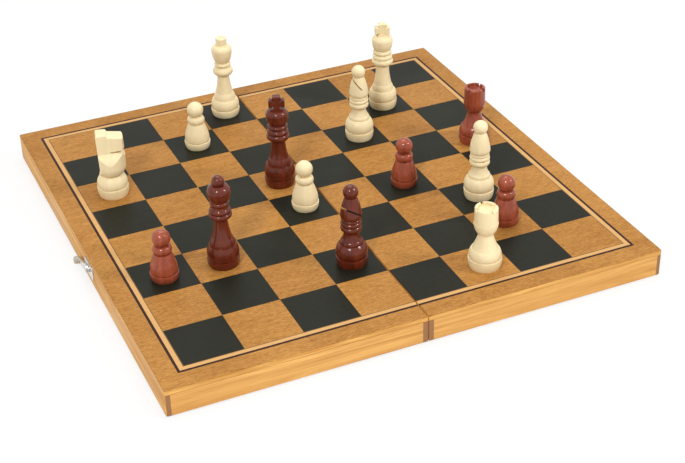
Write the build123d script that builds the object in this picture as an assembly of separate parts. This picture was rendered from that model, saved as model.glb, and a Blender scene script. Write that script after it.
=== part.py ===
from build123d import *
import math
import os

# Folding wooden chess case, opened flat with the playing field up, and the chessmen on it.
# X runs to the right along the front edge, Y to the back, Z up.
# The origin is midway between the two halves, at the level of the surface that the set stands on.
# The two halves meet at x = 0 and fold about a line along Y there, at the level of their rims.
# Lengths are millimetres.

# Playing field
SQUARE = 32.0
SEAM_LOSS = 1.3
FIELD_SQUARES = 8
BORDER = 15.3

# Case
WALL_HEIGHT = 12.5
WALL_THICKNESS = 6.0
PANEL_THICKNESS = 3.0
SEAM_GAP = 0.6
CORNER_TONGUE = 2.8
CORNER_RADIUS = 1.2
PANEL_EDGE_RADIUS = 0.5
JOINT_CHAMFER = 0.25

# Hinges, two alike
HINGE_DISTANCE = 170.0
HINGE_LENGTH = 25.0
KNUCKLE_RADIUS = 1.25
KNUCKLE_GAP = 0.15
MIDDLE_KNUCKLE = 9.0
BARREL_CLEARANCE = 0.15
PIN_RADIUS = 0.6
PIN_CLEARANCE = 0.05
PIN_HEAD_RADIUS = 1.0
PIN_HEAD_LENGTH = 0.5
LEAF_THICKNESS = 0.8
LEAF_SUNK = 0.1
LEAF_EDGE = 0.6
LEAF_SIDE_CLEARANCE = 0.1
HINGE_SCREW_SPACING = 15.0

# Screws, all alike
SCREW_RADIUS = 0.7
SCREW_HEAD_RADIUS = 1.3
SCREW_HEAD_HEIGHT = 0.6
SCREW_LENGTH = 5.0
SCREW_SLOT = 0.3

# Latch on the left side and its catch on the right side
LATCH_Y = -14.0
PIVOT_DROP = 3.5
STUD_DROP = 4.5
LATCH_REACH = 4.5
LATCH_PLATE_LENGTH = 16.0
LATCH_PLATE_HEIGHT = 8.0
LATCH_PLATE_THICKNESS = 0.8
LATCH_PLATE_CORNER = 1.5
LATCH_SCREW_SPACING = 11.0
LATCH_GAP = 0.15
HOOK_THICKNESS = 1.0
HOOK_WIDTH = 4.2
HOOK_TIP = 3.8
HOOK_TAB_THICKNESS = 1.0
HOOK_REST_ANGLE = 15.0
RIVET_RADIUS = 1.0
RIVET_CLEARANCE = 0.05
RIVET_HEAD_RADIUS = 1.9
RIVET_HEAD_HEIGHT = 0.7
RIVET_LENGTH = 4.0
STUD_RADIUS = 1.0
STUD_CLEARANCE = 0.2
STUD_HEAD_RADIUS = 1.9
CATCH_PLATE_LENGTH = 16.0

# Chessmen
FOOT_UNDERCUT = 0.8
FOOT_SWELL = 0.3
FOOT_STEP = 0.35
GROOVE_WIDTH = 0.8
GROOVE_DEPTH = 1.1
BEAD_SWELL = 0.24
TALL_FOOT_RADIUS = 8.9
TALL_BELL_RADIUS = 6.9
TALL_BELL_TOP_RADIUS = 5.6
TALL_BELL_HEIGHT = 4.2
SHOULDER_HEIGHT = {"dark": 7.7, "cream": 6.0}

KING_FOOT_HEIGHT = 5.6
KING_SHOULDER_RADIUS = 7.7
KING_COLLAR_Z = 29.5
KING_NECK_RADIUS = 4.1
KING_COLLAR_RADIUS = 6.7
KING_CROWN_RADIUS = 6.45
KING_CROWN_RISE = 5.6
CROSS_WIDTH = 9.4
CROSS_HEIGHT = 9.0
CROSS_THICKNESS = 4.2
CROSS_ARM = 5.8
CROSS_WAIST = 3.4
CROSS_ROUNDING = 0.8
CROSS_EDGE_RADIUS = 0.6
CROSS_SINK = 0.8

QUEEN_FOOT_HEIGHT = 4.8
QUEEN_SHOULDER_RADIUS = 7.4
QUEEN_COLLAR_Z = {"dark": 29.5, "cream": 27.9}
QUEEN_NECK_RADIUS = 3.6
QUEEN_COLLAR_RADIUS = 6.3
QUEEN_CROWN_RADIUS = 6.3
QUEEN_BALL_RADIUS = 3.45
QUEEN_KNOB_RADIUS = 3.35
QUEEN_KNOB_HEIGHT = 4.2

BISHOP_FOOT_RADIUS = 8.7
BISHOP_FOOT_HEIGHT = 5.6
BISHOP_SHOULDER_RADIUS = 6.6
BISHOP_SHOULDER_HEIGHT = 7.3
BISHOP_NECK_RADIUS = 4.2
BISHOP_STEM_HEIGHT = 5.2
BISHOP_COLLAR_RADIUS = 5.9
BISHOP_MITRE_RADIUS = 5.9
BISHOP_MITRE_HEIGHT = 10.2
BISHOP_BALL_RADIUS = 4.15
BISHOP_SLOT_WIDTH = 0.9
BISHOP_SLOT_ANGLE = {"dark": 35.0, "cream": 48.0}
BISHOP_SLOT_DROP = {"dark": 8.9, "cream": 5.0}
BISHOP_SLOT_PAST_AXIS = 3.2

ROOK_FOOT_RADIUS = 9.2
ROOK_FOOT_HEIGHT = 6.0
ROOK_SHOULDER_RADIUS = 7.5
ROOK_SHOULDER_HEIGHT = 4.9
ROOK_NECK_RADIUS = 4.2
ROOK_STEM_HEIGHT = 7.6
ROOK_TOWER_RADIUS = 6.65
ROOK_TOWER_TOP_RADIUS = 6.3
ROOK_TOWER_HEIGHT = 8.6
ROOK_CUP_HEIGHT = 6.6
ROOK_WELL_RADIUS = 4.5
ROOK_WELL_DEPTH = 1.6
ROOK_NOTCH_WIDTH = 1.6
ROOK_NOTCH_DEPTH = 1.8

KNIGHT_FOOT_RADIUS = 9.1
KNIGHT_NECK_RADIUS = 6.2
KNIGHT_NECK_Z = 13.2
KNIGHT_CHEST_RADIUS = 9.0
KNIGHT_CHEST_Z = 20.5
KNIGHT_HEIGHT = 40.0
KNIGHT_HEAD_THICKNESS = 9.6
KNIGHT_NOSE_REACH = 8.9
KNIGHT_MOUTH_Z = 28.9
KNIGHT_MOUTH_GAP = 0.7
KNIGHT_EDGE_RADIUS = 0.8

PAWN_FOOT_RADIUS = 7.85
PAWN_FOOT_HEIGHT = 4.6
PAWN_BODY_HEIGHT = 10.9
PAWN_BODY_TOP_RADIUS = 4.8
PAWN_COLLAR_RADIUS = 5.25
PAWN_COLLAR_HEIGHT = 4.6
PAWN_NECK_RADIUS = 2.6
PAWN_BALL_RADIUS = 4.95

# Worked out from the sizes above
RIM_Z = KNUCKLE_RADIUS
PANEL_Z = RIM_Z + WALL_HEIGHT
TOP_Z = PANEL_Z + PANEL_THICKNESS
INNER_X = SEAM_GAP / 2
SEAM_FILE = SQUARE - SEAM_LOSS
OUTER_X = SEAM_FILE + (FIELD_SQUARES / 2 - 1) * SQUARE + BORDER
OUTER_Y = FIELD_SQUARES / 2 * SQUARE + BORDER
LAP = WALL_THICKNESS - CORNER_TONGUE
BARREL_CUT_RADIUS = KNUCKLE_RADIUS + BARREL_CLEARANCE
LEAF_OUTER_X = INNER_X + WALL_THICKNESS - LEAF_EDGE
LEAF_BOTTOM_Z = RIM_Z + LEAF_SUNK
LEAF_TOP_Z = LEAF_BOTTOM_Z + LEAF_THICKNESS
HINGE_PLACES = {"front": -HINGE_DISTANCE / 2, "back": HINGE_DISTANCE / 2}
PIVOT_HEIGHT = WALL_HEIGHT - PIVOT_DROP
STUD_HEIGHT = WALL_HEIGHT - STUD_DROP
HOOK_LENGTH = PIVOT_HEIGHT + STUD_HEIGHT
HOOK_FACE = LATCH_PLATE_THICKNESS + LATCH_GAP
RIVET_HEAD_FACE = HOOK_FACE + HOOK_THICKNESS + LATCH_GAP

os.makedirs("parts", exist_ok=True)


def save(node, *solids):
    """Write one named piece, or a group of alike pieces."""
    solids = [s for shape in solids for s in shape.solids()]
    shape = solids[0] if len(solids) == 1 else Compound(children=solids)
    export_step(shape, f"parts/{node}.step")


def block(x, y, z):
    """Box between two limits along each axis, given in any order."""
    sizes = [abs(b - a) for a, b in (x, y, z)]
    middle = [(a + b) / 2 for a, b in (x, y, z)]
    return Pos(*middle) * Box(*sizes)


def rod(radius, y):
    """Round bar along the fold line between two places on Y."""
    middle = (y[0] + y[1]) / 2
    return Pos(0, middle, RIM_Z) * Rot(90, 0, 0) * Cylinder(radius, abs(y[1] - y[0]))


# Case halves, side -1 on the left and 1 on the right

def panel(side):
    """Top panel that carries half of the playing field."""
    body = block((side * INNER_X, side * OUTER_X), (-OUTER_Y, OUTER_Y), (PANEL_Z, TOP_Z))
    outer_corners = body.edges().filter_by(Axis.Z).sort_by(lambda e: side * e.center().X)[-2:]
    body = fillet(outer_corners, CORNER_RADIUS)
    body = chamfer(body.faces().sort_by(Axis.Z)[0].edges(), JOINT_CHAMFER)
    return fillet(body.faces().sort_by(Axis.Z)[-1].edges(), PANEL_EDGE_RADIUS)


def long_wall(side, inner, outer, rebate_start):
    """Side or spine wall, rebated at both ends so that the short walls lap over it."""
    wall = block((side * inner, side * outer), (-OUTER_Y, OUTER_Y), (RIM_Z, PANEL_Z))
    for end in (-1, 1):
        wall -= block((side * rebate_start, side * (rebate_start + LAP)), end_span(end), (RIM_Z, PANEL_Z))
    return wall


def side_wall(side):
    """Outer wall, whose end grain shows as a tongue at each corner."""
    inner = OUTER_X - WALL_THICKNESS
    wall = long_wall(side, inner, OUTER_X, inner)
    corners = wall.edges().filter_by(Axis.Z).sort_by(lambda e: side * e.center().X)[-2:]
    wall = fillet(corners, CORNER_RADIUS)
    wall -= bar_hole(side, LATCH_Y, pivot_z() if side < 0 else stud_z(), RIVET_RADIUS, RIVET_LENGTH)
    return wall - latch_screws(side)


def spine_wall(side):
    """Wall beside the seam, cut out for the hinge leaves, barrels and screws."""
    outer = INNER_X + WALL_THICKNESS
    wall = long_wall(side, INNER_X, outer, outer - LAP)
    for place in HINGE_PLACES.values():
        reach = HINGE_LENGTH / 2 + PIN_HEAD_LENGTH + BARREL_CLEARANCE
        wall -= rod(BARREL_CUT_RADIUS, (place - reach, place + reach))
        half = HINGE_LENGTH / 2 + LEAF_SIDE_CLEARANCE
        wall -= block((0, side * (LEAF_OUTER_X + LEAF_SIDE_CLEARANCE)), (place - half, place + half),
                      (RIM_Z, LEAF_TOP_Z))
    return wall - hinge_screws(side)


def end_span(end):
    """Span on Y that the front (-1) or back (1) wall fills."""
    return end * OUTER_Y, end * (OUTER_Y - WALL_THICKNESS)


def end_wall(side, end):
    """Front or back wall, from one corner tongue to the other."""
    span = (side * (INNER_X + CORNER_TONGUE), side * (OUTER_X - CORNER_TONGUE))
    return block(span, end_span(end), (RIM_Z, PANEL_Z))


# Hinges

def hinge_leaf(side, place):
    """Leaf let into the rim: the left one has the two end knuckles, the right one the middle one."""
    half = HINGE_LENGTH / 2
    middle = MIDDLE_KNUCKLE / 2
    leaf = block((0, side * LEAF_OUTER_X), (place - half, place + half), (LEAF_BOTTOM_Z, LEAF_TOP_Z))
    leaf -= rod(BARREL_CUT_RADIUS, (place - half, place + half))
    if side < 0:
        spans = [(place - half, place - middle - KNUCKLE_GAP), (place + middle + KNUCKLE_GAP, place + half)]
        bore = PIN_RADIUS
    else:
        spans = [(place - middle, place + middle)]
        bore = PIN_RADIUS + PIN_CLEARANCE
    for span in spans:
        leaf += rod(KNUCKLE_RADIUS, span)
        leaf += block((0, side * BARREL_CUT_RADIUS), span, (LEAF_BOTTOM_Z, LEAF_TOP_Z))
    leaf -= rod(bore, (place - half, place + half))
    return leaf - [screw for screw in hinge_screws(side) if abs(screw.center().Y - place) < half]


def hinge_pin(place):
    """Pin through the knuckles, with a small head at each end."""
    half = HINGE_LENGTH / 2
    pin = rod(PIN_RADIUS, (place - half, place + half))
    for end in (-1, 1):
        pin += rod(PIN_HEAD_RADIUS, (place + end * half, place + end * (half + PIN_HEAD_LENGTH)))
    return pin


def screw():
    """Countersunk wood screw with its head's face at the origin, pointing up."""
    shank = Pos(0, 0, SCREW_LENGTH / 2) * Cylinder(SCREW_RADIUS, SCREW_LENGTH)
    head = Pos(0, 0, SCREW_HEAD_HEIGHT / 2) * Cone(SCREW_HEAD_RADIUS, SCREW_RADIUS, SCREW_HEAD_HEIGHT)
    slot = block((-SCREW_HEAD_RADIUS, SCREW_HEAD_RADIUS), (-SCREW_SLOT / 2, SCREW_SLOT / 2), (0, SCREW_SLOT))
    return shank + head - slot


def hinge_screws(side):
    """Four screws that hold the two leaves of one half."""
    x = side * (BARREL_CUT_RADIUS + LEAF_OUTER_X) / 2
    return [
        Pos(x, place + step * HINGE_SCREW_SPACING / 2, LEAF_BOTTOM_Z) * screw()
        for place in HINGE_PLACES.values()
        for step in (-1, 1)
    ]


# Latch and catch

def pivot_z():
    """Height of the hook's pivot on the left side."""
    return RIM_Z + PIVOT_HEIGHT


def stud_z():
    """Height of the catch stud on the right side."""
    return RIM_Z + STUD_HEIGHT


def bar_hole(side, y, z, radius, depth):
    """Round bar along X from the wall's outer face inwards."""
    return Pos(side * (OUTER_X - depth / 2), y, z) * Rot(0, 90, 0) * Cylinder(radius, depth)


def stub(side, y, z, radius, start, end):
    """Round bar along X between two distances out from the wall's outer face."""
    middle = OUTER_X + (start + end) / 2
    return Pos(side * middle, y, z) * Rot(0, 90, 0) * Cylinder(radius, end - start)


def latch_screws(side):
    """Two screws that hold the latch plate, or the catch plate."""
    z = pivot_z() if side < 0 else stud_z()
    face = side * (OUTER_X + LATCH_PLATE_THICKNESS)
    return [
        Pos(face, LATCH_Y + step * LATCH_SCREW_SPACING / 2, z) * Rot(0, -side * 90, 0) * screw()
        for step in (-1, 1)
    ]


def wall_plate(side, z, length):
    """Plate with rounded corners, flat on the side wall."""
    plate = block((side * OUTER_X, side * (OUTER_X + LATCH_PLATE_THICKNESS)),
                  (LATCH_Y - length / 2, LATCH_Y + length / 2),
                  (z - LATCH_PLATE_HEIGHT / 2, z + LATCH_PLATE_HEIGHT / 2))
    plate = fillet(plate.edges().filter_by(Axis.X), LATCH_PLATE_CORNER)
    return plate - latch_screws(side)


def latch_plate():
    """Plate on the left side that carries the hook's rivet."""
    hole = stub(-1, LATCH_Y, pivot_z(), RIVET_RADIUS, 0, LATCH_PLATE_THICKNESS)
    return wall_plate(-1, pivot_z(), LATCH_PLATE_LENGTH) - hole


def latch_rivet():
    """Rivet that the hook turns on, held in the plate and the wall."""
    shank = stub(-1, LATCH_Y, pivot_z(), RIVET_RADIUS, -RIVET_LENGTH, RIVET_HEAD_FACE)
    head = stub(-1, LATCH_Y, pivot_z(), RIVET_HEAD_RADIUS, RIVET_HEAD_FACE,
                RIVET_HEAD_FACE + RIVET_HEAD_HEIGHT)
    return shank + head


def latch_hook():
    """Hook that lies along the left side, with a notch for the catch stud and a bent-out finger tab."""
    tip = HOOK_LENGTH + HOOK_TIP
    half = HOOK_WIDTH / 2
    notch = STUD_RADIUS + STUD_CLEARANCE
    outline = Pos(tip / 2, 0) * Rectangle(tip, HOOK_WIDTH) + Circle(half)
    outline -= Circle(RIVET_RADIUS + RIVET_CLEARANCE)
    outline -= Pos(HOOK_LENGTH, 0) * Circle(notch)
    outline -= Pos(HOOK_LENGTH, -half) * Rectangle(2 * notch, HOOK_WIDTH)
    hook = extrude(outline, HOOK_THICKNESS)
    tab = block((tip - HOOK_TAB_THICKNESS, tip), (-half, half), (0, LATCH_REACH - HOOK_FACE))
    hook += fillet(tab.edges().filter_by(Axis.X).sort_by(Axis.Z)[-2:], half / 2)
    lie = Plane(origin=(-(OUTER_X + HOOK_FACE), LATCH_Y, pivot_z()), x_dir=(0, 1, 0), z_dir=(-1, 0, 0))
    # On this plane local Y points down, so the outline is turned over to open its notch downwards.
    return lie * Rot(0, 0, HOOK_REST_ANGLE) * mirror(hook, Plane.XZ)


def catch_plate():
    """Plate on the right side that carries the stud."""
    hole = stub(1, LATCH_Y, stud_z(), STUD_RADIUS, 0, LATCH_PLATE_THICKNESS)
    return wall_plate(1, stud_z(), CATCH_PLATE_LENGTH) - hole


def catch_stud():
    """Headed stud that the hook swings onto when the case is closed."""
    shank = stub(1, LATCH_Y, stud_z(), STUD_RADIUS, -RIVET_LENGTH, RIVET_HEAD_FACE)
    head = stub(1, LATCH_Y, stud_z(), STUD_HEAD_RADIUS, RIVET_HEAD_FACE, LATCH_REACH)
    rim = head.faces().sort_by(Axis.X)[-1].edges()
    return shank + fillet(rim, STUD_HEAD_RADIUS / 2)


# Chessmen

class Turning:
    """Outline of a turned piece, followed up its side from the foot."""

    def __init__(self, foot_radius, foot_height):
        """Start with a foot ring, drawn in a little at the bottom, and the groove above it."""
        self.radius = foot_radius - FOOT_UNDERCUT
        self.height = 0
        self.edges = [Line((0, 0, 0), (self.radius, 0, 0))]
        self.to(foot_radius, foot_height - GROOVE_WIDTH / 2, FOOT_SWELL)
        self.to(foot_radius - GROOVE_DEPTH, GROOVE_WIDTH / 2)
        self.to(foot_radius - FOOT_STEP, GROOVE_WIDTH / 2)

    def to(self, radius, rise, swell=0):
        """Go up to a new radius: straight, bulging out, or hollowed where swell is under 0."""
        start = Vector(self.radius, 0, self.height)
        end = Vector(radius, 0, self.height + rise)
        if swell:
            along = (end - start).normalized()
            outward = Vector(along.Z, 0, -along.X)
            self.edges.append(ThreePointArc(start, (start + end) / 2 + outward * swell, end))
        else:
            self.edges.append(Line(start, end))
        self.radius = radius
        self.height += rise
        return self

    def bead(self, radius, height, flare=0):
        """Rounded ring, drawn in at its top and bottom."""
        edge = radius - height * BEAD_SWELL
        self.to(edge, flare)
        return self.to(edge, height, height * BEAD_SWELL)

    def ball(self, ball_radius):
        """Ball that starts at the present radius and closes the outline on the axis."""
        centre = self.height + math.sqrt(ball_radius ** 2 - self.radius ** 2)
        start = (self.radius, 0, self.height)
        top = (0, 0, centre + ball_radius)
        self.edges.append(ThreePointArc(start, (ball_radius, 0, centre), top))
        self.radius = 0
        self.height = centre + ball_radius
        return self

    def solid(self):
        """Close the outline along the axis and turn it."""
        if self.radius:
            self.to(0, 0)
        self.edges.append(Line((0, 0, self.height), (0, 0, 0)))
        return revolve(Face(Wire(self.edges)), Axis.Z)


def tall_stem(turning, colour, shoulder_radius, neck_radius, collar_z):
    """Shoulder, a small step and the bell-shaped stem of a king or queen, up to the collar."""
    turning.to(shoulder_radius, SHOULDER_HEIGHT[colour], 0.7).to(TALL_BELL_RADIUS, 0)
    turning.to(TALL_BELL_TOP_RADIUS, TALL_BELL_HEIGHT, 0.3)
    return turning.to(neck_radius, collar_z - turning.height, -0.4)


def king(colour):
    """King: three beads, a spreading crown and a thick cross with spread arms."""
    turning = Turning(TALL_FOOT_RADIUS, KING_FOOT_HEIGHT)
    tall_stem(turning, colour, KING_SHOULDER_RADIUS, KING_NECK_RADIUS, KING_COLLAR_Z)
    turning.bead(KING_COLLAR_RADIUS, 3.5, 0.4).bead(6.2, 2.4, 0.1).to(5.0, 0.7).bead(5.85, 2.3, 0.1)
    turning.to(5.0, 0.3).to(KING_CROWN_RADIUS, KING_CROWN_RISE, 0.4).to(5.0, 3.6, 0.6).to(3.4, 0.5)
    return turning.solid() + Pos(0, 0, turning.height - CROSS_SINK) * cross()


def cross():
    """Cross whose four arms widen outwards, standing on the origin."""
    width = CROSS_WIDTH / 2
    height = CROSS_HEIGHT / 2
    arm = CROSS_ARM / 2
    waist = CROSS_WAIST / 2
    quarter = [(arm, height), (waist, waist), (width, arm)]
    points = []
    for sign_x, sign_y in ((1, 1), (1, -1), (-1, -1), (-1, 1)):
        corner = [(sign_x * x, sign_y * y) for x, y in quarter]
        points += corner if sign_x * sign_y > 0 else corner[::-1]
    outline = Polygon(*points)
    tips = [corner for corner in outline.vertices() if max(abs(corner.X), abs(corner.Y)) > arm]
    outline = fillet(tips, CROSS_ROUNDING)
    body = extrude(Plane.XZ * outline, CROSS_THICKNESS / 2, both=True)
    return Pos(0, 0, height) * fillet(body.edges().filter_by(Axis.Y, reverse=True), CROSS_EDGE_RADIUS)


def queen(colour):
    """Queen: a collar, a small ring, a cup-shaped head and a ball, or a flat knob on the cream one."""
    turning = Turning(TALL_FOOT_RADIUS, QUEEN_FOOT_HEIGHT)
    tall_stem(turning, colour, QUEEN_SHOULDER_RADIUS, QUEEN_NECK_RADIUS, QUEEN_COLLAR_Z[colour])
    if colour == "dark":
        turning.bead(QUEEN_COLLAR_RADIUS, 2.7, 0.4).bead(5.95, 2.3, 0.1).to(4.7, 1.6, -0.2)
        turning.bead(5.3, 2.2, 0.6).to(4.7, 0.2).to(QUEEN_CROWN_RADIUS, 4.9, 0.4).to(4.0, 4.6, 0.9)
        return turning.to(2.8, 0.1).ball(QUEEN_BALL_RADIUS).solid()
    turning.bead(QUEEN_COLLAR_RADIUS, 4.1, 0.4).to(4.0, 1.1, -0.1).bead(5.2, 2.1, 0.3)
    turning.to(4.1, 0.2).to(QUEEN_CROWN_RADIUS, 7.2, 0.5).to(4.4, 4.3, 0.8)
    turning.to(QUEEN_KNOB_RADIUS, 0.2).to(QUEEN_KNOB_RADIUS, QUEEN_KNOB_HEIGHT)
    return turning.to(QUEEN_KNOB_RADIUS - 0.9, 0.7, 0.25).solid()


def bishop(colour):
    """Bishop: beads, a tall mitre with a slanting slot and a ball on top."""
    turning = Turning(BISHOP_FOOT_RADIUS, BISHOP_FOOT_HEIGHT)
    turning.to(BISHOP_SHOULDER_RADIUS, BISHOP_SHOULDER_HEIGHT, 1.1).to(6.3, 0).to(5.6, 2.2, 0.3)
    turning.to(BISHOP_NECK_RADIUS, BISHOP_STEM_HEIGHT, -0.4)
    turning.bead(BISHOP_COLLAR_RADIUS, 3.1, 0.4).bead(5.8, 2.4, 0.1).bead(5.5, 1.7, 0.1)
    turning.to(5.3, 0.1).to(BISHOP_MITRE_RADIUS, 2.5, 0.25).to(3.3, BISHOP_MITRE_HEIGHT, 0.35).to(2.8, 0)
    mitre_top = turning.height
    body = turning.ball(BISHOP_BALL_RADIUS).solid()
    cut = Pos(BISHOP_FOOT_RADIUS - BISHOP_SLOT_PAST_AXIS, 0, 0)
    cut *= Box(2 * BISHOP_FOOT_RADIUS, 2 * BISHOP_FOOT_RADIUS, BISHOP_SLOT_WIDTH)
    slant = Rot(0, -BISHOP_SLOT_ANGLE[colour], 0)
    return body - Pos(0, 0, mitre_top - BISHOP_SLOT_DROP[colour]) * slant * cut


def rook(colour):
    """Rook: a cone up to a cup-bottomed tower with a well and notches in its rim."""
    turning = Turning(ROOK_FOOT_RADIUS, ROOK_FOOT_HEIGHT)
    turning.to(ROOK_SHOULDER_RADIUS, ROOK_SHOULDER_HEIGHT, 0.5).to(ROOK_SHOULDER_RADIUS - 0.3, 0)
    turning.to(ROOK_NECK_RADIUS, ROOK_STEM_HEIGHT, -0.2).to(ROOK_NECK_RADIUS - 0.1, 1.4)
    turning.to(ROOK_TOWER_RADIUS, ROOK_CUP_HEIGHT, 0.6).to(ROOK_TOWER_RADIUS - 0.2, 0)
    turning.to(ROOK_TOWER_TOP_RADIUS, ROOK_TOWER_HEIGHT).to(ROOK_TOWER_TOP_RADIUS - 0.8, 0.9, 0.25)
    top = turning.height
    body = turning.solid()
    body -= Pos(0, 0, top - ROOK_WELL_DEPTH / 2) * Cylinder(ROOK_WELL_RADIUS, ROOK_WELL_DEPTH)
    for turn in (0, 90):
        notch = Box(2 * ROOK_FOOT_RADIUS, ROOK_NOTCH_WIDTH, ROOK_NOTCH_DEPTH)
        body -= Pos(0, 0, top - ROOK_NOTCH_DEPTH / 2) * Rot(0, 0, turn) * notch
    return body


def knight(colour):
    """Knight: a turned blank whose chest is rounded over on both sides up to a flat-sided horse's head."""
    turning = Turning(KNIGHT_FOOT_RADIUS, ROOK_FOOT_HEIGHT)
    turning.to(KNIGHT_NECK_RADIUS, KNIGHT_NECK_Z - turning.height, 1.1).to(KNIGHT_NECK_RADIUS, 0.4)
    turning.to(KNIGHT_CHEST_RADIUS, KNIGHT_CHEST_Z - turning.height, 0.9)
    turning.to(KNIGHT_CHEST_RADIUS + 0.1, KNIGHT_HEIGHT - turning.height)
    wide = KNIGHT_FOOT_RADIUS + 1
    lip = KNIGHT_MOUTH_Z
    nose = KNIGHT_MOUTH_Z + KNIGHT_MOUTH_GAP
    side_view = Polygon(
        (-wide, -1), (-wide, KNIGHT_NECK_Z), (-6.1, KNIGHT_NECK_Z + 1.2), (-6.9, KNIGHT_HEIGHT),
        (-1.0, KNIGHT_HEIGHT), (-0.2, KNIGHT_HEIGHT - 1.4), (KNIGHT_NOSE_REACH - 0.3, KNIGHT_HEIGHT - 2.5),
        (KNIGHT_NOSE_REACH, nose + 0.7), (0.8, nose), (0.8, lip), (7.2, lip - 0.3), (wide, lip - 5.5),
        (wide, -1))
    corners = side_view.vertices().filter_by_position(Axis.Y, lip - 0.5, KNIGHT_HEIGHT)
    outer = [corner for corner in corners if corner.X > 5 or corner.X < -5]
    side_view = fillet(outer, KNIGHT_EDGE_RADIUS)
    front_view = Pos(0, KNIGHT_CHEST_Z / 2 - 1) * Rectangle(2 * wide, KNIGHT_CHEST_Z + 2)
    front_view += Pos(0, KNIGHT_CHEST_Z) * Circle(KNIGHT_CHEST_RADIUS + 0.2)
    front_view += Pos(0, KNIGHT_HEIGHT / 2) * Rectangle(KNIGHT_HEAD_THICKNESS, KNIGHT_HEIGHT + 2)
    side_cut = extrude(Plane.XZ * side_view, wide, both=True)
    return turning.solid() & side_cut & extrude(Plane.YZ * front_view, wide, both=True)


def pawn(colour):
    """Pawn: a domed body, one broad bead and a large ball."""
    turning = Turning(PAWN_FOOT_RADIUS, PAWN_FOOT_HEIGHT)
    turning.to(6.4, PAWN_BODY_HEIGHT * 0.6, 0.35).to(PAWN_BODY_TOP_RADIUS, PAWN_BODY_HEIGHT * 0.4, 0.1)
    turning.bead(PAWN_COLLAR_RADIUS, PAWN_COLLAR_HEIGHT, 0.1).to(PAWN_NECK_RADIUS, 0.1)
    return turning.ball(PAWN_BALL_RADIUS).solid()


MAKERS = {"king": king, "queen": queen, "bishop": bishop, "rook": rook, "knight": knight, "pawn": pawn}

# The men: colour, kind, file, rank, how far they stand off the square's middle, and how far they are turned
MEN = [
    ("cream", "queen", "d", 8, (0.3, 1.0), 0), ("cream", "king", "g", 7, (0.9, -1.8), -20),
    ("cream", "bishop", "f", 6, (1.8, -1.5), 157), ("cream", "bishop", "g", 3, (1.8, -0.4), 66),
    ("cream", "rook", "f", 1, (1.9, -1.8), 0), ("cream", "knight", "a", 6, (1.5, -0.5), -14),
    ("cream", "pawn", "d", 4, (1.0, 0.0), 0), ("cream", "pawn", "c", 7, (1.0, -0.2), 0),
    ("dark", "king", "d", 5, (-1.7, -0.3), -20), ("dark", "queen", "b", 3, (1.7, -2.6), 0),
    ("dark", "bishop", "d", 2, (0.9, -0.5), 203), ("dark", "rook", "h", 5, (-1.2, -4.8), 31),
    ("dark", "pawn", "f", 4, (1.4, -1.0), 0), ("dark", "pawn", "a", 3, (0.4, -2.0), 0),
    ("dark", "pawn", "g", 2, (1.4, 0.0), 0),
]


def file_x(name):
    """Middle of a file: the two files beside the seam are narrower than the others."""
    number = "abcdefgh".index(name)
    side = -1 if number < FIELD_SQUARES / 2 else 1
    steps = int(abs(number - (FIELD_SQUARES - 1) / 2))
    if steps == 0:
        return side * SEAM_FILE / 2
    return side * (SEAM_FILE + (steps - 0.5) * SQUARE)


def rank_y(number):
    """Middle of a rank, counted from the front."""
    return (number - (FIELD_SQUARES + 1) / 2) * SQUARE


for name, side in (("left", -1), ("right", 1)):
    save(f"{name}_panel", panel(side))
    save(f"{name}_side_wall", side_wall(side))
    save(f"{name}_spine_wall", spine_wall(side))
    save(f"{name}_front_wall", end_wall(side, -1))
    save(f"{name}_back_wall", end_wall(side, 1))
    save(f"{name}_hinge_screws", *hinge_screws(side))
    for where, place in HINGE_PLACES.items():
        save(f"{where}_hinge_{name}_leaf", hinge_leaf(side, place))

for where, place in HINGE_PLACES.items():
    save(f"{where}_hinge_pin", hinge_pin(place))

save("latch_plate", latch_plate())
save("latch_rivet", latch_rivet())
save("latch_hook", latch_hook())
save("latch_screws", *latch_screws(-1))
save("catch_plate", catch_plate())
save("catch_stud", catch_stud())
save("catch_screws", *latch_screws(1))

for colour, kind, file, rank, (off_x, off_y), turn in MEN:
    man = Rot(0, 0, turn) * MAKERS[kind](colour)
    print(colour, kind, round(man.bounding_box().max.Z, 1))
    save(f"{colour}_{kind}_{file}{rank}", Pos(file_x(file) + off_x, rank_y(rank) + off_y, TOP_Z) * man)
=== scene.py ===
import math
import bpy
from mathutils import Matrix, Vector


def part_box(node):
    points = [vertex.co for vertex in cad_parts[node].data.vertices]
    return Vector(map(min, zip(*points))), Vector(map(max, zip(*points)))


bl_info = {
    "name": "Folding Chess Set",
    "version": (1, 0, 0),
    "blender": (4, 5, 0),
    "location": "3D View > Sidebar > Chess Set",
    "description": "Finishes a folding wooden chess case and its men, and lights them in a studio",
    "category": "Object",
}

import bpy
from bpy.props import FloatProperty, FloatVectorProperty, PointerProperty
from mathutils import Matrix, Vector

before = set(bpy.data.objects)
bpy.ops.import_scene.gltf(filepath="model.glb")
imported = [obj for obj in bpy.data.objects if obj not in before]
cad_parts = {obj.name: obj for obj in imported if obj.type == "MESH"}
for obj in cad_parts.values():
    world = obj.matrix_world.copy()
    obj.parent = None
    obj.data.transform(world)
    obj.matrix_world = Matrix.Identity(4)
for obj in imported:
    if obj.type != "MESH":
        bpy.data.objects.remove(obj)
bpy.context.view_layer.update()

MM = 0.001

# The photograph's frame, and the camera that was fitted to the grid of squares in it
PHOTO_WIDTH = 685
FOCAL_PIXELS = 1490.9
SENSOR_WIDTH = 36.0
CLIP_START = 0.05

# The printed field: squares from the seam to its edge, and how strongly its parts show
HALF_FIELD_SQUARES = 4.0
EDGE_LINE_STRENGTH = 0.75
BAND_STRENGTH = 0.6
WORN_INK_STRENGTH = 0.45
GLUE_STRENGTH = 0.7

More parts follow.
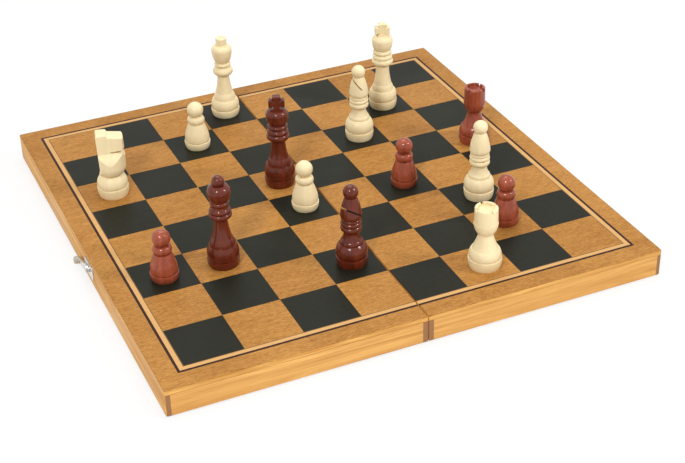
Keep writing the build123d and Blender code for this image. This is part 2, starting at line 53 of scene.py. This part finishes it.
# How far below a piece's own face the print, the glue line and the sawn end still count
PRINT_DEPTH = 0.35 * MM
GLUE_DEPTH = 0.25 * MM
SAWN_DEPTH = 0.3 * MM

# Stretch of the wood grain, which runs along each axis whose number is small
VENEER_GRAIN = (0.16, 1.0, 1.0)
PLY_LAYERS = (0.05, 0.05, 1.0)
GRAIN_ALONG_DEPTH = (1.0, 0.05, 1.0)
GRAIN_ALONG_WIDTH = (0.05, 1.0, 1.0)
CREAM_UPRIGHT_GRAIN = (1.0, 1.0, 0.07)
DARK_UPRIGHT_GRAIN = (1.0, 1.0, 0.08)
TURNING_RINGS = (0.03, 0.03, 1.0)

# Spacing of the rings that a lathe leaves, and how dark the stain is in the deepest grain
TURNING_RING_WIDTH = 0.9 * MM
DEEP_STAIN = 0.35

# The studio: a lamp has its place, the side of its square, and its share of the key power
FLOOR_SIZE = 8.0
FLOOR_GLOW = 0.72
FLOOR_PAPER = (0.90, 0.90, 0.90)
FLOOR_PAPER_SHADE = (0.88, 0.88, 0.88)
SOFT_BOXES = {
    "key_lamp": ((-0.75, -0.85, 1.05), 0.26, 1.0),
    "fill_lamp": ((0.95, -0.75, 0.95), 0.26, 0.85),
    "top_lamp": ((0.1, 0.5, 1.3), 0.9, 0.7),
}


def field_height():
    """Height of the playing field."""
    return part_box("left_panel")[1].z


def panel_underside():
    """Height of the panels' lower face, where they are glued to the walls."""
    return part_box("left_panel")[0].z


def half_depth():
    """Distance from the middle of the board to its front or back edge."""
    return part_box("right_panel")[1].y


def colour_property(name, description, default):
    """A colour that a user can pick."""
    return FloatVectorProperty(name=name, description=description, default=default,
                               subtype="COLOR", size=3, min=0.0, max=1.0)


def length_property(name, description, default):
    """A length in metres."""
    return FloatProperty(name=name, description=description, default=default,
                         unit="LENGTH", min=0.0, precision=5)


def angle_property(name, description, degrees):
    """An angle that a user sees in degrees."""
    return FloatProperty(name=name, description=description, default=math.radians(degrees),
                         subtype="ANGLE")


class ChessFieldSettings(bpy.types.PropertyGroup):
    """Sizes and colours of the printed playing field."""

    square: length_property(
        "Square", "Side of one playing square", 32.0 * MM)
    seam_loss: length_property(
        "Seam Loss", "Width that the saw took from each file beside the seam", 1.3 * MM)
    line_offset: length_property(
        "Line Offset", "From the field's edge to the middle of the frame line", 3.7 * MM)
    line_width: length_property(
        "Line Width", "Width of the dark frame line", 1.5 * MM)
    edge_width: length_property(
        "Edge Width", "Width of the thin line round the field", 0.5 * MM)
    veneer: colour_property(
        "Veneer", "Stained veneer of the light squares", (0.61, 0.305, 0.077))
    veneer_dark: colour_property(
        "Veneer Pores", "Darker grain in the veneer", (0.22, 0.078, 0.011))
    band: colour_property(
        "Band", "Paler band inside the frame line", (0.76, 0.46, 0.19))
    ink: colour_property(
        "Ink", "Dark squares", (0.010, 0.011, 0.007))
    worn_ink: colour_property(
        "Worn Ink", "Dark squares where the fibres show through", (0.027, 0.024, 0.014))
    line: colour_property(
        "Line", "Frame line", (0.035, 0.012, 0.008))


class ChessTimberSettings(bpy.types.PropertyGroup):
    """Colours of the case's bare timber."""

    pale: colour_property(
        "Pale Timber", "Early wood of the walls", (0.80, 0.455, 0.135))
    late: colour_property(
        "Late Timber", "Late wood of the walls", (0.50, 0.215, 0.045))
    end_grain: colour_property(
        "End Grain", "Cut ends of the side walls", (0.30, 0.145, 0.060))


class ChessFittingSettings(bpy.types.PropertyGroup):
    """Colours of the hinges, the latch and the catch."""

    bright: colour_property(
        "Bright Plating", "Plated steel as it was new", (0.78, 0.77, 0.74))
    rubbed: colour_property(
        "Rubbed Plating", "Plated steel where it is handled", (0.55, 0.54, 0.51))


class ChessMenSettings(bpy.types.PropertyGroup):
    """Colours of the chessmen."""

    cream: colour_property(
        "Cream", "Pale men", (0.87, 0.75, 0.47))
    cream_grain: colour_property(
        "Cream Grain", "Grain of the pale men", (0.80, 0.63, 0.35))
    brown: colour_property(
        "Brown", "Lacquer on the tall dark men", (0.165, 0.026, 0.010))
    red: colour_property(
        "Red", "Lacquer on the small dark men", (0.42, 0.090, 0.042))


class ChessStudioSettings(bpy.types.PropertyGroup):
    """Camera and light of the studio."""

    azimuth: angle_property("Azimuth", "Turn of the camera to the left of the front", 23.45)
    elevation: angle_property("Elevation", "Camera's slope down to the board", 32.25)
    roll: angle_property("Roll", "Tilt of the picture", -1.39)
    position: FloatVectorProperty(
        name="Position", description="Place of the camera over the board's middle",
        default=(-0.2861, -0.6949, 0.4437), subtype="TRANSLATION", size=3)
    daylight: FloatProperty(
        name="Daylight", description="Strength of the even white light", default=0.5, min=0.0)
    key_power: FloatProperty(
        name="Key Power", description="Power of the key lamp", default=10.5, min=0.0,
        unit="POWER")


# Node helpers

class Graph:
    """Adds nodes to a material or a group and wires them."""

    def __init__(self, tree):
        self.tree = tree

    def node(self, kind, inputs=None, **settings):
        """Add a node, with some of its settings and inputs."""
        made = self.tree.nodes.new(kind)
        for name, value in settings.items():
            setattr(made, name, value)
        for socket, value in (inputs or {}).items():
            self.feed(made.inputs[socket], value)
        return made

    def feed(self, socket, value):
        """Link an output to a socket, or set the socket's own value."""
        if isinstance(value, bpy.types.NodeSocket):
            self.tree.links.new(value, socket)
        else:
            socket.default_value = value

    def math(self, operation, *values):
        """One step of arithmetic."""
        made = self.node("ShaderNodeMath", dict(enumerate(values)), operation=operation)
        return made.outputs[0]

    def weighted_sum(self, *parts):
        """Sum of values, each times its own weight."""
        total = None
        for value, weight in parts:
            part = self.math("MULTIPLY", value, weight)
            total = part if total is None else self.math("ADD", total, part)
        return total

    def vector_math(self, operation, inputs):
        """One step of vector arithmetic."""
        return self.node("ShaderNodeVectorMath", inputs, operation=operation).outputs[0]

    def in_steps_of(self, size, place):
        """Measure a place in steps of a size."""
        fineness = self.math("DIVIDE", 1.0, size)
        return self.vector_math("SCALE", {0: place, "Scale": fineness})

    def part(self, place, axis):
        """One of the three numbers of a place."""
        return self.node("ShaderNodeSeparateXYZ", {0: place}).outputs[axis]

    def noise(self, place, scale, detail=4.0, roughness=0.55, distortion=0.0):
        """Fractal noise between 0 and 1."""
        inputs = {"Vector": place, "Scale": scale, "Detail": detail, "Roughness": roughness,
                  "Distortion": distortion}
        return self.node("ShaderNodeTexNoise", inputs).outputs["Fac"]

    def remap(self, value, low, high, to_low=0.0, to_high=1.0):
        """Stretch a value from one span to another, and clamp it."""
        inputs = {"Value": value, "From Min": low, "From Max": high, "To Min": to_low,
                  "To Max": to_high}
        return self.node("ShaderNodeMapRange", inputs).outputs["Result"]

    def mix(self, amount, first, second):
        """Blend two colours."""
        inputs = {"Factor": amount, "A": opaque(first), "B": opaque(second)}
        return self.node("ShaderNodeMix", inputs, data_type="RGBA").outputs["Result"]


def opaque(colour):
    """A colour with full alpha, or the socket as it is."""
    if isinstance(colour, bpy.types.NodeSocket):
        return colour
    return (*colour[:3], 1.0)


# Shared node groups, each built once, and placed in a material with its own values

def shared_group(name, wire, vectors, values, outputs):
    """The group of that name, wired by a function of its graph, its inputs and its outputs."""
    if name in bpy.data.node_groups:
        return bpy.data.node_groups[name]
    tree = bpy.data.node_groups.new(name, "ShaderNodeTree")
    for label in vectors:
        tree.interface.new_socket(label, in_out="INPUT", socket_type="NodeSocketVector")
    for label in values:
        tree.interface.new_socket(label, in_out="INPUT", socket_type="NodeSocketFloat")
    for label in outputs:
        tree.interface.new_socket(label, in_out="OUTPUT", socket_type="NodeSocketFloat")
    graph = Graph(tree)
    wire(graph, graph.node("NodeGroupInput").outputs, graph.node("NodeGroupOutput").inputs)
    return tree


def wire_wood_grain(graph, start, end):
    """Streaks, fibres and pores, drawn out by Stretch."""
    drawn_out = graph.vector_math("MULTIPLY", {0: start["Vector"], 1: start["Stretch"]})
    place = graph.in_steps_of(start["Ring Width"], drawn_out)
    streaks = graph.noise(place, scale=0.55, detail=5.0, roughness=0.55, distortion=0.9)
    fibres = graph.noise(place, scale=4.5, detail=3.0, roughness=0.7, distortion=0.2)
    pores = graph.noise(place, scale=9.0, detail=2.0, roughness=0.6)
    graph.feed(end["Streaks"], graph.remap(streaks, 0.32, 0.68))
    graph.feed(end["Fibres"], graph.remap(fibres, 0.3, 0.7))
    graph.feed(end["Pores"], graph.remap(pores, 0.60, 0.72))


def wood_grain(graph, place, stretch, ring_width):
    """Outputs of the wood grain at a place."""
    tree = shared_group("wood grain", wire_wood_grain, vectors=("Vector", "Stretch"),
                        values=("Ring Width",), outputs=("Streaks", "Fibres", "Pores"))
    inputs = {"Vector": place, "Stretch": stretch, "Ring Width": ring_width}
    return graph.node("ShaderNodeGroup", node_tree=tree, inputs=inputs).outputs


def wire_handling_marks(graph, start, end):
    """Soft uneven patches and a fine speckle, where hands and cloths have rubbed a surface."""
    place = graph.in_steps_of(start["Patch Size"], start["Vector"])
    patches = graph.noise(place, scale=0.8, detail=3.0)
    speckle = graph.noise(place, scale=24.0, detail=2.0)
    graph.feed(end["Patches"], graph.remap(patches, 0.35, 0.65))
    graph.feed(end["Speckle"], graph.remap(speckle, 0.4, 0.7))


def handling_marks(graph, place, patch_size):
    """Outputs of the handling marks at a place."""
    tree = shared_group("handling marks", wire_handling_marks, vectors=("Vector",),
                        values=("Patch Size",), outputs=("Patches", "Speckle"))
    inputs = {"Vector": place, "Patch Size": patch_size}
    return graph.node("ShaderNodeGroup", node_tree=tree, inputs=inputs).outputs


def wire_printed_field(graph, start, end):
    """Where the dark squares, the frame line, the band and the thin edge line lie."""
    place = graph.node("ShaderNodeSeparateXYZ", {0: start["Vector"]}).outputs
    shift = graph.math("MULTIPLY", graph.math("SIGN", place["X"]), start["Seam Loss"])
    across = graph.math("ADD", place["X"], shift)
    column = graph.math("FLOOR", graph.math("DIVIDE", across, start["Square"]))
    row = graph.math("FLOOR", graph.math("DIVIDE", place["Y"], start["Square"]))
    parity = graph.math("FLOORED_MODULO", graph.math("ADD", column, row), 2.0)
    from_middle = graph.math(
        "MAXIMUM", graph.math("ABSOLUTE", across), graph.math("ABSOLUTE", place["Y"]))
    half_field = graph.math("MULTIPLY", start["Square"], HALF_FIELD_SQUARES)
    outside = graph.math("SUBTRACT", from_middle, half_field)
    inside = graph.math("LESS_THAN", outside, 0.0)
    half_line = graph.math("MULTIPLY", start["Line Width"], 0.5)
    half_edge = graph.math("MULTIPLY", start["Edge Width"], 0.5)
    line = graph.math("COMPARE", outside, start["Line Offset"], half_line)
    edge = graph.math("COMPARE", outside, half_edge, half_edge)
    edge = graph.math("MULTIPLY", edge, EDGE_LINE_STRENGTH)
    even = graph.math("LESS_THAN", parity, 0.5)
    within_line = graph.math("LESS_THAN", outside, start["Line Offset"])
    border = graph.math("SUBTRACT", 1.0, inside)
    square = graph.node("ShaderNodeCombineXYZ", {"X": column, "Y": row}).outputs[0]
    tone = graph.node("ShaderNodeTexWhiteNoise", {"Vector": square}).outputs["Value"]
    graph.feed(end["Dark Squares"], graph.math("MULTIPLY", inside, even))
    graph.feed(end["Frame Line"], graph.math("MAXIMUM", line, edge))
    graph.feed(end["Band"], graph.math("MULTIPLY", within_line, border))
    graph.feed(end["Tone"], tone)


def printed_field(graph, place, field):
    """Outputs of the printed field at a place."""
    sizes = {
        "Square": field.square,
        "Seam Loss": field.seam_loss,
        "Line Offset": field.line_offset,
        "Line Width": field.line_width,
        "Edge Width": field.edge_width,
    }
    tree = shared_group("printed field", wire_printed_field, vectors=("Vector",),
                        values=tuple(sizes),
                        outputs=("Dark Squares", "Frame Line", "Band", "Tone"))
    inputs = {"Vector": place, **sizes}
    return graph.node("ShaderNodeGroup", node_tree=tree, inputs=inputs).outputs


# Materials

def new_material(name, constants):
    """Material with a Principled BSDF whose constant sockets are set directly."""
    material = bpy.data.materials.new(name)
    material.use_nodes = True
    shader = material.node_tree.nodes["Principled BSDF"]
    for socket, value in constants.items():
        shader.inputs[socket].default_value = value
    graph = Graph(material.node_tree)
    place = graph.node("ShaderNodeTexCoord").outputs["Object"]
    return material, graph, shader, place


def finish(graph, shader, colour, wear, smooth, rough):
    """Give a surface its colour, and a roughness that its wear moves between two values."""
    graph.feed(shader.inputs["Base Color"], colour)
    graph.feed(shader.inputs["Roughness"], graph.remap(wear, 0.0, 1.0, smooth, rough))


def bump(graph, shader, height, strength, distance):
    """Feed a height to the shader's normal."""
    inputs = {"Height": height, "Strength": strength, "Distance": distance}
    made = graph.node("ShaderNodeBump", inputs)
    graph.feed(shader.inputs["Normal"], made.outputs["Normal"])


def veneer_material(field, timber):
    """Stained veneer with the printed field on its face, and plywood at its edges and below."""
    material, graph, shader, place = new_material("printed veneer", {"Specular IOR Level": 0.1})
    grain = wood_grain(graph, place, VENEER_GRAIN, ring_width=2.2 * MM)
    marks = handling_marks(graph, place, patch_size=30.0 * MM)
    face = printed_face(graph, place, grain, marks, field)
    height = graph.part(place, "Z")
    on_top = graph.math("GREATER_THAN", height, field_height() - PRINT_DEPTH)
    colour = graph.mix(on_top, ply_edge(graph, place, height, timber), face)
    finish(graph, shader, colour, marks["Patches"], smooth=0.36, rough=0.50)
    bump(graph, shader, grain["Fibres"], strength=0.25, distance=0.05 * MM)
    return material


def printed_face(graph, place, grain, marks, field):
    """Veneer with the dark squares, the paler band and the frame line printed on it."""
    printed = printed_field(graph, place, field)
    amount = graph.weighted_sum(
        (grain["Fibres"], 0.62),
        (grain["Pores"], 0.45),
        (grain["Streaks"], 0.16),
        (printed["Tone"], 0.14),
        (marks["Patches"], 0.12),
    )
    wood = graph.mix(amount, field.veneer, field.veneer_dark)
    wood = graph.mix(graph.math("MULTIPLY", printed["Band"], BAND_STRENGTH), wood, field.band)
    wear = graph.math("MULTIPLY", grain["Fibres"], WORN_INK_STRENGTH)
    ink = graph.mix(wear, field.ink, field.worn_ink)
    face = graph.mix(printed["Dark Squares"], wood, ink)
    return graph.mix(printed["Frame Line"], face, field.line)


def ply_edge(graph, place, height, timber):
    """Pale layers of a panel's edge, with the darker glue line at the bottom."""
    layers = wood_grain(graph, place, PLY_LAYERS, ring_width=1.2 * MM)
    edge = graph.mix(layers["Streaks"], timber.pale, timber.late)
    glue = graph.math("LESS_THAN", height, panel_underside() + GLUE_DEPTH)
    glue = graph.math("MULTIPLY", glue, GLUE_STRENGTH)
    return graph.mix(glue, edge, timber.end_grain)


def timber_material(name, timber, stretch, ends):
    """Bare timber of a wall, with streaks along it, and end grain where it was sawn off."""
    material, graph, shader, place = new_material(name, {"Specular IOR Level": 0.2})
    grain = wood_grain(graph, place, stretch, ring_width=2.2 * MM)
    marks = handling_marks(graph, place, patch_size=45.0 * MM)
    amount = graph.weighted_sum((grain["Streaks"], 0.75), (grain["Fibres"], 0.18))
    wood = graph.mix(amount, timber.pale, timber.late)
    if ends:
        depth = graph.math("ABSOLUTE", graph.part(place, "Y"))
        sawn = graph.math("GREATER_THAN", depth, half_depth() - SAWN_DEPTH)
        wood = graph.mix(sawn, wood, timber.end_grain)
    finish(graph, shader, wood, marks["Patches"], smooth=0.42, rough=0.58)
    bump(graph, shader, grain["Fibres"], strength=0.3, distance=0.06 * MM)
    return material


def cream_material(men):
    """Pale close-grained timber, turned, sanded and waxed."""
    material, graph, shader, place = new_material("waxed cream wood", {
        "Specular IOR Level": 0.3,
        "Coat Weight": 0.1,
        "Coat Roughness": 0.25,
    })
    grain = wood_grain(graph, place, CREAM_UPRIGHT_GRAIN, ring_width=2.4 * MM)
    marks = handling_marks(graph, place, patch_size=12.0 * MM)
    turned = wood_grain(graph, place, TURNING_RINGS, ring_width=TURNING_RING_WIDTH)
    amount = graph.weighted_sum((grain["Streaks"], 0.55), (grain["Fibres"], 0.22))
    colour = graph.mix(amount, men.cream, men.cream_grain)
    finish(graph, shader, colour, marks["Patches"], smooth=0.38, rough=0.52)
    height = graph.weighted_sum((turned["Fibres"], 1.0), (grain["Fibres"], 0.5))
    bump(graph, shader, height, strength=0.2, distance=0.04 * MM)
    return material


def lacquer_material(name, colour):
    """Stained turned timber under clear gloss lacquer."""
    material, graph, shader, place = new_material(name, {
        "Specular IOR Level": 0.1,
        "Coat Weight": 0.5,
        "Coat Roughness": 0.09,
        "Coat IOR": 1.5,
    })
    grain = wood_grain(graph, place, DARK_UPRIGHT_GRAIN, ring_width=2.0 * MM)
    marks = handling_marks(graph, place, patch_size=9.0 * MM)
    turned = wood_grain(graph, place, TURNING_RINGS, ring_width=TURNING_RING_WIDTH)
    deep = tuple(value * DEEP_STAIN for value in colour)
    amount = graph.weighted_sum((grain["Streaks"], 0.6), (grain["Fibres"], 0.25))
    stain = graph.mix(amount, colour, deep)
    finish(graph, shader, stain, marks["Patches"], smooth=0.22, rough=0.36)
    height = graph.math("ADD", turned["Streaks"], marks["Patches"])
    bump(graph, shader, height, strength=0.12, distance=0.06 * MM)
    return material


def steel_material(fittings):
    """Bright plated steel with faint rubbed patches."""
    material, graph, shader, place = new_material("plated steel", {"Metallic": 1.0})
    marks = handling_marks(graph, place, patch_size=3.0 * MM)
    colour = graph.mix(marks["Patches"], fittings.bright, fittings.rubbed)
    finish(graph, shader, colour, marks["Speckle"], smooth=0.18, rough=0.34)
    return material


def paint(node, material):
    """Give a CAD node one material."""
    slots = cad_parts[node].data.materials
    slots.clear()
    slots.append(material)


# Operators

class CHESSSET_OT_finish_panels(bpy.types.Operator):
    """Print the playing field on the two veneered panels"""

    bl_idname = "chess_set.finish_panels"
    bl_label = "Finish Panels"

    def execute(self, context):
        material = veneer_material(context.scene.chess_field, context.scene.chess_timber)
        for side in ("left", "right"):
            paint(f"{side}_panel", material)
        return {"FINISHED"}


class CHESSSET_OT_finish_walls(bpy.types.Operator):
    """Give the case's walls their bare timber"""

    bl_idname = "chess_set.finish_walls"
    bl_label = "Finish Walls"

    def execute(self, context):
        timber = context.scene.chess_timber
        long_walls = timber_material("long wall timber", timber, GRAIN_ALONG_DEPTH, ends=True)
        short_walls = timber_material("short wall timber", timber, GRAIN_ALONG_WIDTH, ends=False)
        for side in ("left", "right"):
            for wall in ("side", "spine"):
                paint(f"{side}_{wall}_wall", long_walls)
            for wall in ("front", "back"):
                paint(f"{side}_{wall}_wall", short_walls)
        return {"FINISHED"}


class CHESSSET_OT_finish_fittings(bpy.types.Operator):
    """Plate the hinges, the latch, the catch and their screws"""

    bl_idname = "chess_set.finish_fittings"
    bl_label = "Finish Fittings"

    def execute(self, context):
        material = steel_material(context.scene.chess_fittings)
        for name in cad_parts:
            if any(word in name for word in ("hinge", "latch", "catch")):
                paint(name, material)
        return {"FINISHED"}


class CHESSSET_OT_finish_men(bpy.types.Operator):
    """Wax the cream men, and lacquer the dark ones brown or, if small, red"""

    bl_idname = "chess_set.finish_men"
    bl_label = "Finish Chessmen"

    def execute(self, context):
        men = context.scene.chess_men
        cream = cream_material(men)
        brown = lacquer_material("brown lacquer", men.brown)
        red = lacquer_material("red lacquer", men.red)
        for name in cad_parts:
            if name.startswith("cream_"):
                paint(name, cream)
            elif name.startswith(("dark_pawn", "dark_rook")):
                paint(name, red)
            elif name.startswith("dark_"):
                paint(name, brown)
        return {"FINISHED"}


class CHESSSET_OT_set_stage(bpy.types.Operator):
    """Lay the white floor, hang the lamps and place the camera"""

    bl_idname = "chess_set.set_stage"
    bl_label = "Set Stage"

    def execute(self, context):
        studio = context.scene.chess_studio
        context.scene.view_settings.view_transform = "Standard"
        lay_floor()
        light_world(context.scene, studio.daylight)
        hang_lamps(context.scene, studio.key_power)
        place_camera(context.scene, studio)
        return {"FINISHED"}


# Stage

def seen_directly(graph):
    """1 for camera rays, and for glossy and transmission rays, so that they see white too."""
    rays = graph.node("ShaderNodeLightPath").outputs
    seen = graph.math("MAXIMUM", rays["Is Camera Ray"], rays["Is Glossy Ray"])
    return graph.math("MAXIMUM", seen, rays["Is Transmission Ray"])


def lay_floor():
    """White floor that keeps a soft shadow of the object."""
    bpy.ops.mesh.primitive_plane_add(size=FLOOR_SIZE, location=(0, 0, 0))
    floor = bpy.context.object
    floor.name = "studio_floor"
    material, graph, shader, place = new_material("studio floor", {"Roughness": 0.9})
    paper = graph.noise(place, scale=3.0, detail=2.0)
    graph.feed(shader.inputs["Base Color"], graph.mix(paper, FLOOR_PAPER, FLOOR_PAPER_SHADE))
    glow = graph.node("ShaderNodeEmission", {"Strength": 1.0})
    share = graph.math("MULTIPLY", seen_directly(graph), FLOOR_GLOW)
    inputs = {0: share, 1: shader.outputs[0], 2: glow.outputs[0]}
    mixed = graph.node("ShaderNodeMixShader", inputs)
    output = material.node_tree.nodes["Material Output"]
    graph.feed(output.inputs["Surface"], mixed.outputs[0])
    floor.data.materials.append(material)


def light_world(scene, daylight):
    """Even white daylight, with a pure white background for the camera."""
    world = bpy.data.worlds.new("studio daylight")
    world.use_nodes = True
    scene.world = world
    graph = Graph(world.node_tree)
    background = world.node_tree.nodes["Background"]
    background.inputs["Color"].default_value = (1.0, 1.0, 1.0, 1.0)
    gain = graph.math("MULTIPLY", seen_directly(graph), 1.0 - daylight)
    graph.feed(background.inputs["Strength"], graph.math("ADD", gain, daylight))


def hang_lamps(scene, key_power):
    """Two soft boxes in front, one on each side, and a wide one overhead."""
    for name, (place, size, share) in SOFT_BOXES.items():
        data = bpy.data.lights.new(name, "AREA")
        data.shape = "SQUARE"
        data.size = size
        data.energy = key_power * share
        lamp = bpy.data.objects.new(name, data)
        scene.collection.objects.link(lamp)
        lamp.location = place
        lamp.rotation_euler = (-Vector(place)).to_track_quat("-Z", "Y").to_euler()


def place_camera(scene, studio):
    """Camera at the photograph's place, angle and lens."""
    data = bpy.data.cameras.new("photo_camera")
    data.sensor_width = SENSOR_WIDTH
    data.lens = SENSOR_WIDTH * FOCAL_PIXELS / PHOTO_WIDTH
    data.clip_start = CLIP_START
    camera = bpy.data.objects.new("photo_camera", data)
    scene.collection.objects.link(camera)
    turn = Matrix.Rotation(-studio.azimuth, 3, "Z")
    slope = Matrix.Rotation(math.pi / 2 - studio.elevation, 3, "X")
    roll = Matrix.Rotation(studio.roll, 3, "Z")
    camera.rotation_euler = (turn @ slope @ roll).to_euler()
    camera.location = Vector(studio.position) + Vector((0, 0, field_height()))
    scene.camera = camera


# Add-on

class CHESSSET_PT_panel(bpy.types.Panel):
    """Settings of the chess set and the steps that finish it"""

    bl_idname = "CHESSSET_PT_panel"
    bl_label = "Chess Set"
    bl_space_type = "VIEW_3D"
    bl_region_type = "UI"
    bl_category = "Chess Set"

    def draw(self, context):
        for group in SETTINGS:
            settings = getattr(context.scene, group)
            box = self.layout.box()
            for name in settings.__annotations__:
                box.prop(settings, name)
        for operator in OPERATORS:
            self.layout.operator(operator.bl_idname)


OPERATORS = (
    CHESSSET_OT_finish_panels,
    CHESSSET_OT_finish_walls,
    CHESSSET_OT_finish_fittings,
    CHESSSET_OT_finish_men,
    CHESSSET_OT_set_stage,
)

SETTINGS = {
    "chess_field": ChessFieldSettings,
    "chess_timber": ChessTimberSettings,
    "chess_fittings": ChessFittingSettings,
    "chess_men": ChessMenSettings,
    "chess_studio": ChessStudioSettings,
}


def register():
    """Register the settings, the operators and the panel."""
    for name, group in SETTINGS.items():
        bpy.utils.register_class(group)
        setattr(bpy.types.Scene, name, PointerProperty(type=group))
    for operator in OPERATORS:
        bpy.utils.register_class(operator)
    bpy.utils.register_class(CHESSSET_PT_panel)


def unregister():
    """Take everything out again."""
    bpy.utils.unregister_class(CHESSSET_PT_panel)
    for operator in reversed(OPERATORS):
        bpy.utils.unregister_class(operator)
    for name, group in SETTINGS.items():
        delattr(bpy.types.Scene, name)
        bpy.utils.unregister_class(group)


def main():
    """Run every step."""
    register()
    bpy.ops.chess_set.finish_panels()
    bpy.ops.chess_set.finish_walls()
    bpy.ops.chess_set.finish_fittings()
    bpy.ops.chess_set.finish_men()
    bpy.ops.chess_set.set_stage()


if __name__ == "__main__":
    main()
